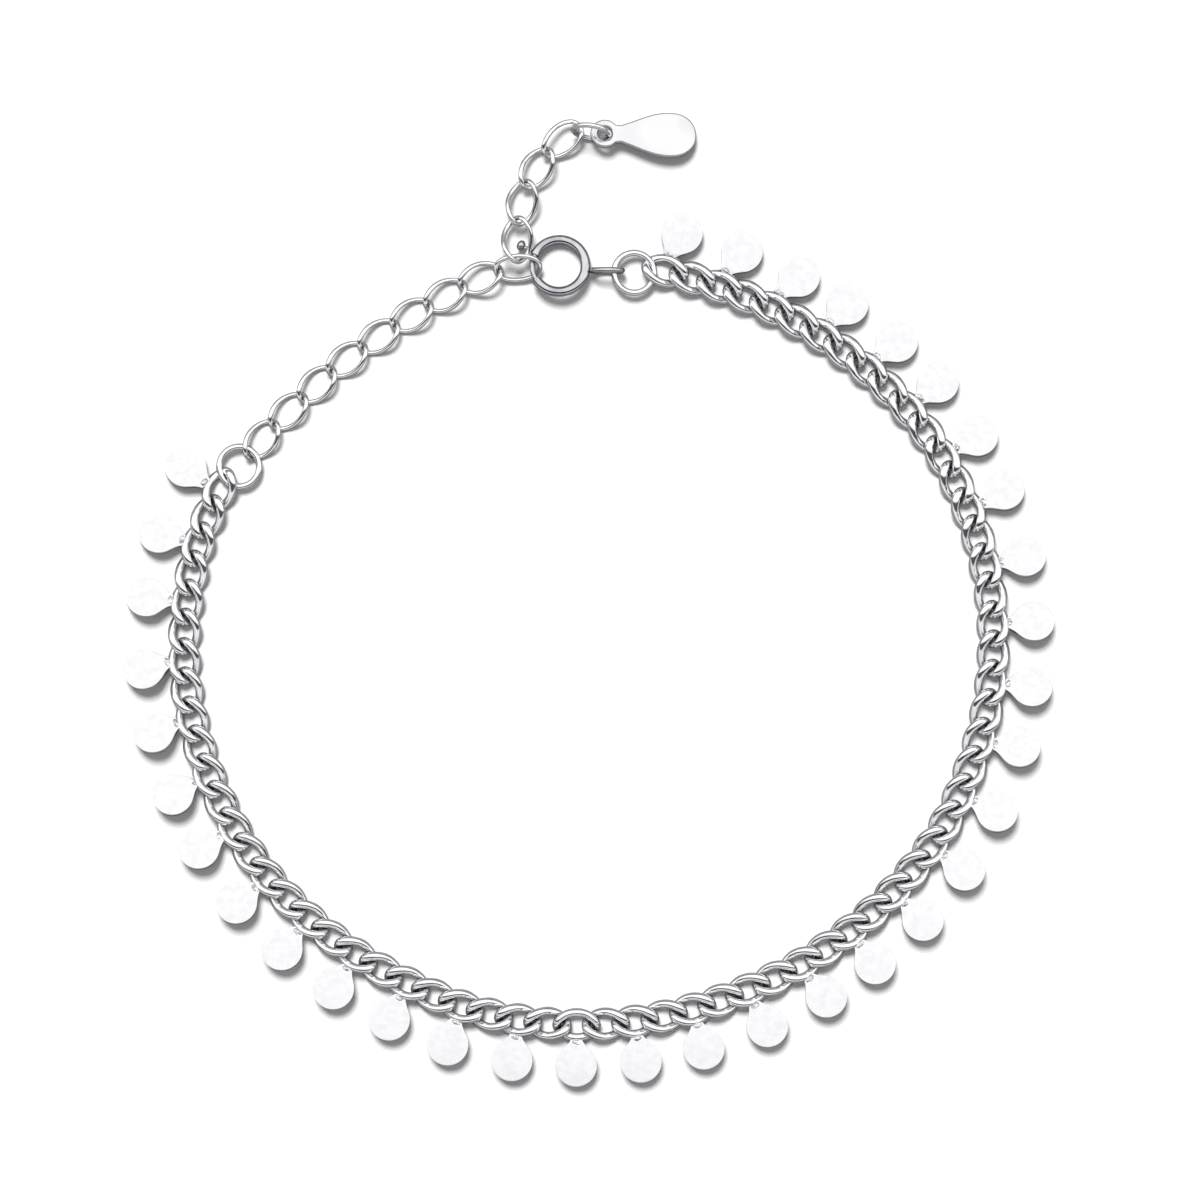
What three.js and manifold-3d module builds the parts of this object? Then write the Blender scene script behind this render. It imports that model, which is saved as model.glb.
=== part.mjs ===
// A fine curb-chain bracelet lying flat, with small round discs along its outer side, two jump
// rings, a spring-ring clasp, an extender of open links and a teardrop tag at the extender's end.
// Millimetres, +Z up, the surface that it lies on at z = 0. Seen from above, the chain runs
// clockwise from the jump ring beside the clasp, and north is +Y.

import * as THREE from "three";
import { mergeVertices } from "three/addons/utils/BufferGeometryUtils.js";
import Module from "manifold-3d";

const wasm = await Module();
wasm.setup();

const DEGREE = Math.PI / 180;
const UP = new THREE.Vector3(0, 0, 1);
const MERGE_DISTANCE = 1e-4;

// Curb chain: the outer form of its twisted links, and how they are spaced along the route.
// The first links, beside the clasp, lie a little closer together than the others.
const CHAIN_WIDTH = 2.7;
const CHAIN_HEIGHT = 1.5;
const CHAIN_FLAT = 1.5;
const CHAIN_SIDE = 0.7;
const CHAIN_STEPS = 76;
const FIRST_LINK = 0.6;
const CLOSE_PITCH = 2.26;
const CLOSE_LINKS = 10;
const LINK_PITCH = 2.346;
const CHAIN_START = 0.45;
const CHAIN_END = 154.75;

// Points on the chain's centre line, seen from above.
const CHAIN_ROUTE = [
  [5.4, 26.6], [10.5, 25.1], [15.4, 23], [20, 20.2], [24.1, 16.7], [27.5, 12.6], [30, 7.8],
  [31.6, 2.7], [32.2, -2.6], [31.8, -7.9], [30.4, -13.1], [28.2, -18], [25, -22.3], [21.1, -26],
  [16.7, -29], [11.8, -31.3], [6.7, -32.9], [1.4, -33.7], [-3.9, -33.6], [-9.2, -32.6],
  [-14.2, -30.6], [-18.9, -28], [-23.1, -24.7], [-26.7, -20.7], [-29.4, -16.1], [-31.3, -11.1],
  [-32.3, -5.8], [-32.2, -0.5], [-31.2, 4.8], [-29.2, 9.8],
];

// Discs: one on every second link, soldered to its outer bar by a short tab. Each one leans
// about the east-west line, its south edge raised: most at the loop's two sides, and hardly at
// its north and south.
const DISC_COUNT = 34;
const DISC_DIAMETER = 3.32;
const DISC_THICKNESS = 0.5;
const DISC_SIDES = 18;
const DISC_REACH = 3.22;
const DISC_MOST_TILT = 24;
const DISC_LEAST_TILT = 4;
const TAB_ROOT = 1.1;
const TAB_HEIGHT = 0.95;
const TAB_WIDTH = 0.9;
const TAB_THICKNESS = 0.4;
const TAB_LAP = 0.35;

// Discs that stand off the middle of their link, by disc number, in millimetres along the chain.
const DISC_SHIFTS = {
  1: 0.5, 2: 0.8, 3: 0.9, 4: 0.45, 5: 0.45, 8: -0.4, 12: -0.35, 17: -0.45, 18: -0.3, 29: -0.4,
  30: -0.4, 31: -0.6, 34: 0.6,
};

// Jump rings.
const RING_STEPS = 20;
const JUMP_RING = { diameter: 3.7, wire: 0.55 };
const LEFT_RING = { x: -28, y: 10.81, z: 0.75, tilt: 0 };
const RIGHT_RING = { x: 3.52, y: 26.27, z: 0.9, tilt: 5.4 };

// Extender: oval links of fine wire, each turned along its length so that it meets the next
// one crosswise. Twists are the cross line's angle out of level at a link's start and end.
const LINK_HALF_LENGTH = 1.78;
const LINK_HALF_WIDTH = 1.13;
const LINK_WIRE = 0.34;
const LINK_TWIST = 45;
const FIRST_TWIST = 58;
const LINK_STEPS = 20;
const LINK_SIDES = 6;
const EXTENDER_LINKS = 8;
const TAIL_LINKS = 4;

// Joints of the extender from the left jump ring to the link that the clasp holds.
const EXTENDER_ROUTE = [
  [-27.2, 11.75, 0.75], [-25.2, 14.2, 0.66], [-22.7, 16.5, 0.62], [-20.35, 18.7, 0.62],
  [-17.8, 20.55, 0.62], [-15.25, 22.3, 0.66], [-12.55, 23.9, 0.75], [-9.9, 25.4, 0.85],
  [-7.3, 26.45, 0.98],
];

// The link that the clasp holds: its middle, and its two twists.
const HELD_LINK = { x: -5.76, y: 26.64, z: 1.05, heading: 4, startTwist: 34, endTwist: 36 };

// Joints of the free tail, from the held link's upper bar to the tag's ring.
const TAIL_ROUTE = [
  [-5.84, 27.34, 1.7], [-5.75, 30.5, 1.32], [-5, 33.55, 1.05], [-3.3, 36, 0.95], [-1.05, 37.85, 1],
];
const TAIL_FIRST_TWIST = 47.5;
const TAIL_LAST_TWIST = -15;

// Tag ring: it stands almost on edge, its top leaning north.
const TAG_RING = { x: 0.08, y: 37.44, z: 1.64, diameter: 3.3, wire: 0.42, heading: -8, lean: 15 };

// Teardrop tag: a flat plate with a round eye at its narrow end. The profile gives the plate's
// half width at distances from the middle of the eye, from the neck to the round end.
const TAG = {
  x: 1.18, y: 37.32, z: 1.08, heading: -1, pitch: 3, roll: -14,
  thickness: 0.6, bevel: 0.12, eyeRadius: 1.16, eyeEnd: 40, holeRadius: 0.6, holeSides: 16,
  edgeSteps: 4,
};
const TAG_PROFILE = [
  [1.3, 0.72], [2.2, 1.06], [3.2, 1.46], [4.2, 1.76], [5.2, 1.86], [6.1, 1.72], [6.8, 1.27],
  [7.2, 0.62], [7.3, 0],
];

// Clasp: a hollow ring with a gate, and a bolt of wire that slides round inside it.
const CLASP = { x: -2.48, y: 26.82, z: 1.05, tilt: -10 };
const CLASP_RADIUS = 2.13;
const CLASP_TUBE = 0.8;
const CLASP_BORE = 0.58;
const CLASP_SIDES = 10;
const BODY_STEPS = 32;
const BORE_STEPS = 16;
const FOOT_STEPS = 4;
const SLOT_STEPS = 6;
const BOLT_STEPS = 16;
const GATE_START = 155;
const GATE_END = 212;
const GATE_LAP = 5;
const BORE_BACK = 68;
const BORE_FOOT = 226;
const SLOT_BACK = 90;
const SLOT_WIDTH = 0.44;
const SLOT_DEPTH = 1.6;
const BOLT_WIRE = 0.42;
const BOLT_START = 126;
const BOLT_END = 217;
const THUMB = {
  angle: 151, stem: 0.3, stemSides: 8, reach: 3.45, diameter: 0.84, flatness: 0.8, knobSides: 10,
  knobRings: 6,
};
const END_LOOP = { x: 1.36, y: 26.44, z: 1.05, halfLength: 1.22, halfHeight: 0.8, wire: 0.45 };

const silver = new THREE.MeshStandardMaterial({ color: 0xdcdde0, roughness: 0.12, metalness: 1 });
const claspSilver = new THREE.MeshStandardMaterial({ color: 0xb3b5b9, roughness: 0.2, metalness: 1 });

/** Part of a circle in the XY plane, from one angle in degrees to another. */
class ArcCurve3 extends THREE.Curve {
  constructor(radius, from, to) {
    super();
    this.radius = radius;
    this.from = from * DEGREE;
    this.to = to * DEGREE;
  }

  getPoint(t, target = new THREE.Vector3()) {
    const angle = THREE.MathUtils.lerp(this.from, this.to, t);
    return target.set(this.radius * Math.cos(angle), this.radius * Math.sin(angle), 0);
  }
}

/** A closed oval along X whose cross line turns from one twist to another, in degrees. */
class TwistedOvalCurve3 extends THREE.Curve {
  constructor(halfLength, halfWidth, startTwist, endTwist) {
    super();
    this.halfLength = halfLength;
    this.halfWidth = halfWidth;
    this.startTwist = startTwist * DEGREE;
    this.endTwist = endTwist * DEGREE;
  }

  getPoint(t, target = new THREE.Vector3()) {
    const turn = 2 * Math.PI * t;
    const across = this.halfWidth * Math.sin(turn);
    const share = (1 + Math.cos(turn)) / 2;
    const twist = THREE.MathUtils.lerp(this.startTwist, this.endTwist, share);
    return target.set(
      this.halfLength * Math.cos(turn),
      across * Math.cos(twist),
      across * Math.sin(twist),
    );
  }
}

/** The closed solid of a geometry, for joining and cutting. */
function solidOf(geometry) {
  const bare = geometry.clone();
  bare.deleteAttribute("normal");
  bare.deleteAttribute("uv");
  const merged = mergeVertices(bare, MERGE_DISTANCE);
  return new wasm.Manifold(new wasm.Mesh({
    numProp: 3,
    vertProperties: new Float32Array(merged.attributes.position.array),
    triVerts: new Uint32Array(merged.index.array),
  }));
}

/** The geometry of a solid that was joined or cut. */
function geometryOf(solid) {
  const mesh = solid.getMesh();
  const geometry = new THREE.BufferGeometry();
  geometry.setAttribute("position", new THREE.BufferAttribute(mesh.vertProperties, 3));
  geometry.setIndex(new THREE.BufferAttribute(mesh.triVerts, 1));
  geometry.computeVertexNormals();
  return geometry;
}

/** A regular polygon that stands for a round wire's section. */
function roundSection(diameter, sides) {
  const points = [];
  for (let i = 0; i < sides; i += 1) {
    const angle = (2 * Math.PI * (i + 0.5)) / sides;
    points.push(new THREE.Vector2(Math.cos(angle), Math.sin(angle)).multiplyScalar(diameter / 2));
  }
  return new THREE.Shape(points);
}

/** A bar of round section along part of the clasp's circle. */
function arcBar(from, to, diameter, steps) {
  return new THREE.ExtrudeGeometry(roundSection(diameter, CLASP_SIDES), {
    steps,
    bevelEnabled: false,
    extrudePath: new ArcCurve3(CLASP_RADIUS, from, to),
  });
}

/** A mesh with its name and material. */
function piece(name, geometry, material) {
  const mesh = new THREE.Mesh(geometry, material);
  mesh.name = name;
  return mesh;
}

/** The turn that carries X to a direction and keeps Y level. */
function headingQuaternion(direction) {
  const along = direction.clone().normalize();
  const left = new THREE.Vector3().crossVectors(UP, along).normalize();
  const above = new THREE.Vector3().crossVectors(along, left);
  return new THREE.Quaternion().setFromRotationMatrix(
    new THREE.Matrix4().makeBasis(along, left, above),
  );
}

// Curb chain and its discs, one soldered solid.

const chainRoute = new THREE.CatmullRomCurve3(
  CHAIN_ROUTE.map(([x, y]) => new THREE.Vector3(x, y, 0)),
);

/** The stretch of the chain's route between two lengths along it, raised to mid-height. */
class ChainCentreLine extends THREE.Curve {
  getPoint(t, target = new THREE.Vector3()) {
    const length = THREE.MathUtils.lerp(CHAIN_START, CHAIN_END, t);
    target.copy(chainRoute.getPointAt(length / chainRoute.getLength()));
    target.z = CHAIN_HEIGHT / 2;
    return target;
  }
}

/** The chain's section: as wide and high as its links, with a flat sole and top. */
function chainSection() {
  const points = [];
  for (const [u, v] of [[1, 1], [-1, 1], [-1, -1], [1, -1]]) {
    const corner = [
      new THREE.Vector2((u * CHAIN_HEIGHT) / 2, (v * CHAIN_FLAT) / 2),
      new THREE.Vector2((u * CHAIN_SIDE) / 2, (v * CHAIN_WIDTH) / 2),
    ];
    points.push(...(u * v > 0 ? corner : corner.reverse()));
  }
  return new THREE.Shape(points);
}

/** The length along the route at the middle of a link, counted from 0. */
function linkPlace(link) {
  const close = Math.min(link, CLOSE_LINKS - 1);
  return FIRST_LINK + close * CLOSE_PITCH + (link - close) * LINK_PITCH;
}

/** One disc and its tab, placed beside the chain, counted from 0. */
function discSolids(index) {
  const place = linkPlace(2 * index);
  const shifted = place + (DISC_SHIFTS[index + 1] ?? 0);
  const total = chainRoute.getLength();
  const root = chainRoute.getPointAt(place / total);
  const foot = chainRoute.getPointAt(Math.min(shifted / total, 1));
  const outward = new THREE.Vector3().crossVectors(UP, chainRoute.getTangentAt(place / total));
  const sideways = 1 - Math.abs(outward.y);
  const tilt = THREE.MathUtils.lerp(DISC_LEAST_TILT, DISC_MOST_TILT, sideways) * DEGREE;
  const lever = DISC_REACH - TAB_ROOT;

  root.addScaledVector(outward, TAB_ROOT);
  root.z = TAB_HEIGHT;
  const centre = foot.addScaledVector(outward, DISC_REACH);
  centre.z = TAB_HEIGHT - outward.y * lever * Math.sin(tilt);

  const disc = new THREE.CylinderGeometry(
    DISC_DIAMETER / 2, DISC_DIAMETER / 2, DISC_THICKNESS, DISC_SIDES,
  );
  disc.rotateX(Math.PI / 2 - tilt);
  disc.translate(centre.x, centre.y, centre.z);

  const run = new THREE.Vector3().subVectors(centre, root);
  const tabLength = run.length() - DISC_DIAMETER / 2 + TAB_LAP;
  const tab = new THREE.BoxGeometry(tabLength, TAB_WIDTH, TAB_THICKNESS);
  tab.translate(tabLength / 2, 0, 0);
  tab.applyQuaternion(headingQuaternion(run));
  tab.translate(root.x, root.y, root.z);
  return [solidOf(disc), solidOf(tab)];
}

/** The whole chain with its discs. */
function chainWithDiscs() {
  const tube = new THREE.ExtrudeGeometry(chainSection(), {
    steps: CHAIN_STEPS,
    bevelEnabled: false,
    extrudePath: new ChainCentreLine(),
  });
  let solid = solidOf(tube);
  for (let index = 0; index < DISC_COUNT; index += 1) {
    const [disc, tab] = discSolids(index);
    solid = solid.add(disc.add(tab));
  }
  return piece("chain_with_discs", geometryOf(solid), silver);
}

// Jump rings, extender and tag.

/** A round ring of wire of a given outer diameter. */
function wireRing(diameter, wire) {
  return new THREE.TorusGeometry((diameter - wire) / 2, wire / 2, LINK_SIDES, RING_STEPS);
}

/** A jump ring lying level, or tilted about the north-south line. */
function jumpRing(name, ring) {
  const mesh = piece(name, wireRing(JUMP_RING.diameter, JUMP_RING.wire), silver);
  mesh.position.set(ring.x, ring.y, ring.z);
  mesh.rotation.y = ring.tilt * DEGREE;
  return mesh;
}

/** An extender link, along X about its own middle. */
function extenderLink(number, startTwist, endTwist) {
  const oval = new TwistedOvalCurve3(LINK_HALF_LENGTH, LINK_HALF_WIDTH, startTwist, endTwist);
  const geometry = new THREE.TubeGeometry(oval, LINK_STEPS, LINK_WIRE / 2, LINK_SIDES, true);
  return piece(`extender_link_${String(number).padStart(2, "0")}`, geometry, silver);
}

/** Links at equal steps along a route of joints, with the first and last twist as given. */
function linkRow(route, count, firstNumber, firstTwist, lastTwist) {
  const curve = new THREE.CatmullRomCurve3(route.map(([x, y, z]) => new THREE.Vector3(x, y, z)));
  const joints = curve.getSpacedPoints(count);
  const links = [];
  for (let i = 0; i < count; i += 1) {
    const startTwist = i === 0 ? firstTwist : LINK_TWIST;
    const endTwist = i === count - 1 ? lastTwist : -LINK_TWIST;
    const link = extenderLink(firstNumber + i, startTwist, endTwist);
    const run = new THREE.Vector3().subVectors(joints[i + 1], joints[i]);
    link.position.addVectors(joints[i], joints[i + 1]).multiplyScalar(0.5);
    link.quaternion.copy(headingQuaternion(run));
    links.push(link);
  }
  return links;
}

/** The link that the clasp's bolt passes through. */
function heldLink() {
  const link = extenderLink(EXTENDER_LINKS + 1, HELD_LINK.startTwist, HELD_LINK.endTwist);
  link.position.set(HELD_LINK.x, HELD_LINK.y, HELD_LINK.z);
  link.rotation.z = HELD_LINK.heading * DEGREE;
  return link;
}

/** The ring between the last link and the tag, standing almost on edge. */
function tagRing() {
  const mesh = piece("tag_ring", wireRing(TAG_RING.diameter, TAG_RING.wire), silver);
  mesh.rotation.set((90 - TAG_RING.lean) * DEGREE, 0, TAG_RING.heading * DEGREE, "ZYX");
  mesh.position.set(TAG_RING.x, TAG_RING.y, TAG_RING.z);
  return mesh;
}

/** The tag's outline and hole, from the middle of its eye along X. */
function tagOutline() {
  const eyeEnd = TAG.eyeEnd * DEGREE;
  const upper = TAG_PROFILE.map(([along, half]) => new THREE.Vector2(along, half));
  const lower = upper.slice(0, -1).map((point) => new THREE.Vector2(point.x, -point.y));
  const outline = new THREE.Shape();
  outline.absarc(0, 0, TAG.eyeRadius, eyeEnd, 2 * Math.PI - eyeEnd, false);
  outline.splineThru([...lower, ...upper.reverse()]);
  outline.closePath();
  const hole = roundSection(2 * TAG.holeRadius, TAG.holeSides).getPoints().reverse();
  outline.holes.push(new THREE.Path(hole));
  return outline;
}

/** The teardrop tag, with a narrow bevel round both faces. */
function teardropTag() {
  const geometry = new THREE.ExtrudeGeometry(tagOutline(), {
    depth: TAG.thickness - 2 * TAG.bevel,
    curveSegments: TAG.edgeSteps,
    bevelEnabled: true,
    bevelThickness: TAG.bevel,
    bevelSize: TAG.bevel,
    bevelOffset: -TAG.bevel,
    bevelSegments: 1,
  });
  geometry.translate(0, 0, TAG.bevel - TAG.thickness / 2);
  const mesh = piece("teardrop_tag", geometry, silver);
  mesh.position.set(TAG.x, TAG.y, TAG.z);
  mesh.rotation.set(TAG.roll * DEGREE, TAG.pitch * DEGREE, TAG.heading * DEGREE, "ZYX");
  return mesh;
}

// Spring-ring clasp. Angles are seen from above, anticlockwise from east.

/** The hollow ring with its gate, bores and thumb slot, and the soldered end loop. */
function claspRing() {
  const mouth = GATE_START + GATE_LAP;
  const body = solidOf(arcBar(GATE_END - 360, GATE_START, CLASP_TUBE, BODY_STEPS));
  const bore = solidOf(arcBar(BORE_BACK, mouth, CLASP_BORE, BORE_STEPS));
  const foot = solidOf(arcBar(GATE_END - GATE_LAP, BORE_FOOT, CLASP_BORE, FOOT_STEPS));

  const slot = new THREE.Shape();
  slot.absarc(0, 0, CLASP_RADIUS + SLOT_DEPTH, SLOT_BACK * DEGREE, mouth * DEGREE, false);
  slot.absarc(0, 0, CLASP_RADIUS, mouth * DEGREE, SLOT_BACK * DEGREE, true);
  const slotGeometry = new THREE.ExtrudeGeometry(slot, {
    depth: SLOT_WIDTH,
    bevelEnabled: false,
    curveSegments: SLOT_STEPS,
  });
  slotGeometry.translate(0, 0, -SLOT_WIDTH / 2);

  const oval = new TwistedOvalCurve3(END_LOOP.halfLength, END_LOOP.halfHeight, 90, 90);
  const loop = new THREE.TubeGeometry(oval, LINK_STEPS, END_LOOP.wire / 2, LINK_SIDES, true);
  loop.rotateX(-CLASP.tilt * DEGREE);
  const offset = new THREE.Vector3(
    END_LOOP.x - CLASP.x, END_LOOP.y - CLASP.y, END_LOOP.z - CLASP.z,
  ).applyAxisAngle(new THREE.Vector3(1, 0, 0), -CLASP.tilt * DEGREE);
  loop.translate(offset.x, offset.y, offset.z);

  const hollow = body.subtract(bore).subtract(foot).subtract(solidOf(slotGeometry));
  return piece("clasp_ring", geometryOf(hollow.add(solidOf(loop))), claspSilver);
}

/** The bolt that closes the gate, with its thumb knob. */
function claspBolt() {
  const wire = solidOf(arcBar(BOLT_START, BOLT_END, BOLT_WIRE, BOLT_STEPS));
  const stemLength = THUMB.reach - CLASP_RADIUS;
  const stem = new THREE.CylinderGeometry(
    THUMB.stem / 2, THUMB.stem / 2, stemLength, THUMB.stemSides,
  );
  stem.rotateZ(-Math.PI / 2);
  stem.translate(CLASP_RADIUS + stemLength / 2, 0, 0);
  const knob = new THREE.SphereGeometry(THUMB.diameter / 2, THUMB.knobSides, THUMB.knobRings);
  knob.rotateZ(-Math.PI / 2);
  knob.scale(THUMB.flatness, 1, 1);
  knob.translate(THUMB.reach, 0, 0);
  const thumb = solidOf(stem).add(solidOf(knob)).rotate([0, 0, THUMB.angle]);
  return piece("clasp_bolt", geometryOf(wire.add(thumb)), claspSilver);
}

/** The clasp's two pieces, tilted together. */
function clasp() {
  const group = new THREE.Group();
  group.add(claspRing(), claspBolt());
  group.position.set(CLASP.x, CLASP.y, CLASP.z);
  group.rotation.x = CLASP.tilt * DEGREE;
  return group;
}

const bracelet = new THREE.Group();
bracelet.add(
  chainWithDiscs(),
  jumpRing("jump_ring_left", LEFT_RING),
  jumpRing("jump_ring_right", RIGHT_RING),
  ...linkRow(EXTENDER_ROUTE, EXTENDER_LINKS, 1, FIRST_TWIST, -LINK_TWIST),
  heldLink(),
  ...linkRow(TAIL_ROUTE, TAIL_LINKS, EXTENDER_LINKS + 2, TAIL_FIRST_TWIST, TAIL_LAST_TWIST),
  tagRing(),
  teardropTag(),
  clasp(),
);

// The frame's origin lies under the middle of the outer box.
const box = new THREE.Box3().setFromObject(bracelet, true);
const middle = box.getCenter(new THREE.Vector3());
bracelet.position.set(-middle.x, -middle.y, 0);

export default bracelet;
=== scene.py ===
"""A fine silver bracelet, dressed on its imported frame: curb chain, disc charms, clasp, extender and tag.

Everything is in metres, +Z up, lying on the floor at z = 0. Seen from above, north is +Y and the chain runs
clockwise from the jump ring beside the clasp. Sizes are written in millimetres and turned to metres by MM,
and angles are written in degrees.
"""

import logging
import math
from dataclasses import dataclass, field
from enum import Enum
from typing import NamedTuple

import bpy
from mathutils import Matrix, Vector


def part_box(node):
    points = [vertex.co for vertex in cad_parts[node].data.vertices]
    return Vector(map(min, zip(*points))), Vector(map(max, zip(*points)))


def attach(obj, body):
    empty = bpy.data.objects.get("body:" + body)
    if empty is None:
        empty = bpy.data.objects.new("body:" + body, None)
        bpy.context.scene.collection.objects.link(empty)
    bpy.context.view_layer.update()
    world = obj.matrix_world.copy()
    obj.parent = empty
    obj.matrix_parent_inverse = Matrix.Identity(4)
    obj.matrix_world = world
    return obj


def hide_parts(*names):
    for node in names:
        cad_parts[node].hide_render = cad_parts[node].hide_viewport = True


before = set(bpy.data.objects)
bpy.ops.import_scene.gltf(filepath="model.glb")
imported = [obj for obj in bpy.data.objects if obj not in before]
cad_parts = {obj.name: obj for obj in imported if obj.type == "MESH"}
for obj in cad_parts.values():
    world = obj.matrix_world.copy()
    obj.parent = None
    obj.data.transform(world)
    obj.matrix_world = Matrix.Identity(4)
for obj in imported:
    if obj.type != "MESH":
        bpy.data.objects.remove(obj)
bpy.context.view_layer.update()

LOG = logging.getLogger("bracelet")
MM = 0.001
UP = Vector((0.0, 0.0, 1.0))
HOME = Vector((0.0, 0.0, 0.0))
WHITE = "#FFFFFF"

# The least angle between two faces at a sharp edge, and how many steps round such an edge.
SHARP_EDGE = 50.0
EDGE_STEPS = 4

# The numbers of sockets that share their names: a Mix node's colours, and a Mix Shader node's shaders.
MIX_FIRST, MIX_SECOND, MIX_RESULT = 6, 7, 2
FIRST_SHADER, SECOND_SHADER = 1, 2


class Body(str, Enum):
    """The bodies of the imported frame."""

    BRACELET = "bracelet"
    BOLT = "bolt"


class Slot(str, Enum):
    """The record's material slots."""

    SILVER = "silver"
    CLASP = "clasp_silver"


def linear(hex_colour: str) -> tuple[float, float, float, float]:
    """Turn an sRGB hex colour to linear, by the sRGB standard's own curve.

    Args:
        hex_colour: six hex digits after a hash sign.

    Returns:
        Linear red, green and blue, and an alpha of 1.
    """
    parts = [int(hex_colour[i:i + 2], 16) / 255 for i in (1, 3, 5)]
    straight = [c / 12.92 if c <= 0.04045 else ((c + 0.055) / 1.055) ** 2.4 for c in parts]
    return (*straight, 1.0)


def add_node(
    tree: bpy.types.NodeTree,
    kind: str,
    settings: dict[str, object] | None = None,
    links: dict[str | int, bpy.types.NodeSocket] | None = None,
) -> bpy.types.Node:
    """Add a shader node with its settings and links.

    Args:
        tree: the node tree it goes into.
        kind: the node's type name.
        settings: values by property name, or by input name where no property has it.
        links: output sockets by the name or number of the input that they feed.

    Returns:
        The new node.
    """
    node = tree.nodes.new(kind)
    for name, value in (settings or {}).items():
        if hasattr(node, name):
            setattr(node, name, value)
        else:
            node.inputs[name].default_value = value
    for place, socket in (links or {}).items():
        tree.links.new(socket, node.inputs[place])
    return node


@dataclass(frozen=True)
class SilverFinish:
    """Polished silver: a metal surface with a faint waviness, fine polishing marks, and shade painted dark
    into its recesses.
    """

    name: str
    colour: str
    dark_colour: str
    roughness: float
    roughness_spread: float
    ripple_mm: float
    ripple_height_mm: float
    grain_mm: float
    grain_height_mm: float
    metallic: float = 1.0
    ripple_detail: float = 2.0
    ripple_unevenness: float = 0.55
    grain_detail: float = 2.0
    grain_unevenness: float = 0.6
    dark_below: float = 0.32
    bright_above: float = 0.6
    # Painted shade: where ambient occlusion finds recesses, the colour is darkened towards the recess
    # colour, standing in for the shade that falls there.
    recess_mm: float = 0.4
    painted_recess_shade_colour: str = "#141416"
    recess_below: float = 0.22
    open_above: float = 0.55
    recess_samples: int = 4

    def material(self) -> bpy.types.Material:
        """Make the material, or give the one made before.

        Returns:
            A node material whose colour, roughness and bump vary over the surface.
        """
        made = bpy.data.materials.get(self.name)
        if made:
            return made
        made = bpy.data.materials.new(self.name)
        made.use_nodes = True
        tree = made.node_tree
        tree.nodes.clear()
        place = add_node(tree, "ShaderNodeTexCoord")
        ripple = add_node(
            tree, "ShaderNodeTexNoise",
            {
                "Scale": 1 / (self.ripple_mm * MM), "Detail": self.ripple_detail,
                "Roughness": self.ripple_unevenness,
            },
            {"Vector": place.outputs["Object"]},
        )
        grain = add_node(
            tree, "ShaderNodeTexNoise",
            {
                "Scale": 1 / (self.grain_mm * MM), "Detail": self.grain_detail,
                "Roughness": self.grain_unevenness,
            },
            {"Vector": place.outputs["Object"]},
        )
        gloss = add_node(
            tree, "ShaderNodeMapRange",
            {
                "To Min": self.roughness - self.roughness_spread,
                "To Max": self.roughness + self.roughness_spread,
            },
            {"Value": grain.outputs["Fac"]},
        )
        waves = add_node(
            tree, "ShaderNodeBump",
            {"Strength": 1.0, "Distance": self.ripple_height_mm * MM},
            {"Height": ripple.outputs["Fac"]},
        )
        marks = add_node(
            tree, "ShaderNodeBump",
            {"Strength": 1.0, "Distance": self.grain_height_mm * MM},
            {"Height": grain.outputs["Fac"], "Normal": waves.outputs["Normal"]},
        )
        metal = add_node(
            tree, "ShaderNodeBsdfPrincipled", {"Metallic": self.metallic},
            {
                "Base Color": self._tone_with_painted_recess_shade(tree, ripple.outputs["Fac"]),
                "Roughness": gloss.outputs["Result"],
                "Normal": marks.outputs["Normal"],
            },
        )
        add_node(tree, "ShaderNodeOutputMaterial", links={"Surface": metal.outputs["BSDF"]})
        return made

    def _tone_with_painted_recess_shade(
        self, tree: bpy.types.NodeTree, ripple: bpy.types.NodeSocket,
    ) -> bpy.types.NodeSocket:
        """Vary the silver's colour with the ripple, and paint shade into it where ambient occlusion finds
        recesses.

        Args:
            tree: the material's node tree.
            ripple: the ripple's height, from 0 to 1.

        Returns:
            The socket that gives the colour.
        """
        tone = add_node(tree, "ShaderNodeValToRGB", links={"Fac": ripple})
        tone_stops = tone.color_ramp.elements
        tone_stops[0].position = self.dark_below
        tone_stops[0].color = linear(self.dark_colour)
        tone_stops[1].position = self.bright_above
        tone_stops[1].color = linear(self.colour)
        # Painted shade: the colour is darkened where ambient occlusion finds recesses, standing in for the
        # shade there.
        open_air = add_node(
            tree, "ShaderNodeAmbientOcclusion",
            {"samples": self.recess_samples, "Distance": self.recess_mm * MM},
        )
        depth = add_node(tree, "ShaderNodeValToRGB", links={"Fac": open_air.outputs["AO"]})
        painted_shade_stops = depth.color_ramp.elements
        painted_shade_stops[0].position = self.recess_below
        painted_shade_stops[0].color = linear(self.painted_recess_shade_colour)
        painted_shade_stops[1].position = self.open_above
        painted_shade_stops[1].color = linear(WHITE)
        toned_with_painted_shade = add_node(
            tree, "ShaderNodeMix", {"data_type": "RGBA", "blend_type": "MULTIPLY", "Factor": 1.0},
            {MIX_FIRST: tone.outputs["Color"], MIX_SECOND: depth.outputs["Color"]},
        )
        return toned_with_painted_shade.outputs[MIX_RESULT]


# Sterling silver wire, drawn and tumble-polished: bright, with dark reflections and soft unevenness.
CHAIN_SILVER = SilverFinish(
    "tumble_polished_sterling_silver", "#FAFAFB", "#EAEAEC",
    roughness=0.09, roughness_spread=0.03, ripple_mm=1.1, ripple_height_mm=0.014,
    grain_mm=0.16, grain_height_mm=0.0012, metallic=0.92,
)
# Silver sheet, blanked and buffed: nearly a mirror, so that it reads as white under the soft light.
DISC_SILVER = SilverFinish(
    "buffed_sheet_sterling_silver", "#E5E5E7", "#DEDEE0",
    roughness=0.16, roughness_spread=0.04, ripple_mm=0.6, ripple_height_mm=0.0016,
    grain_mm=0.14, grain_height_mm=0.0008, metallic=0.94,
)
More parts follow.
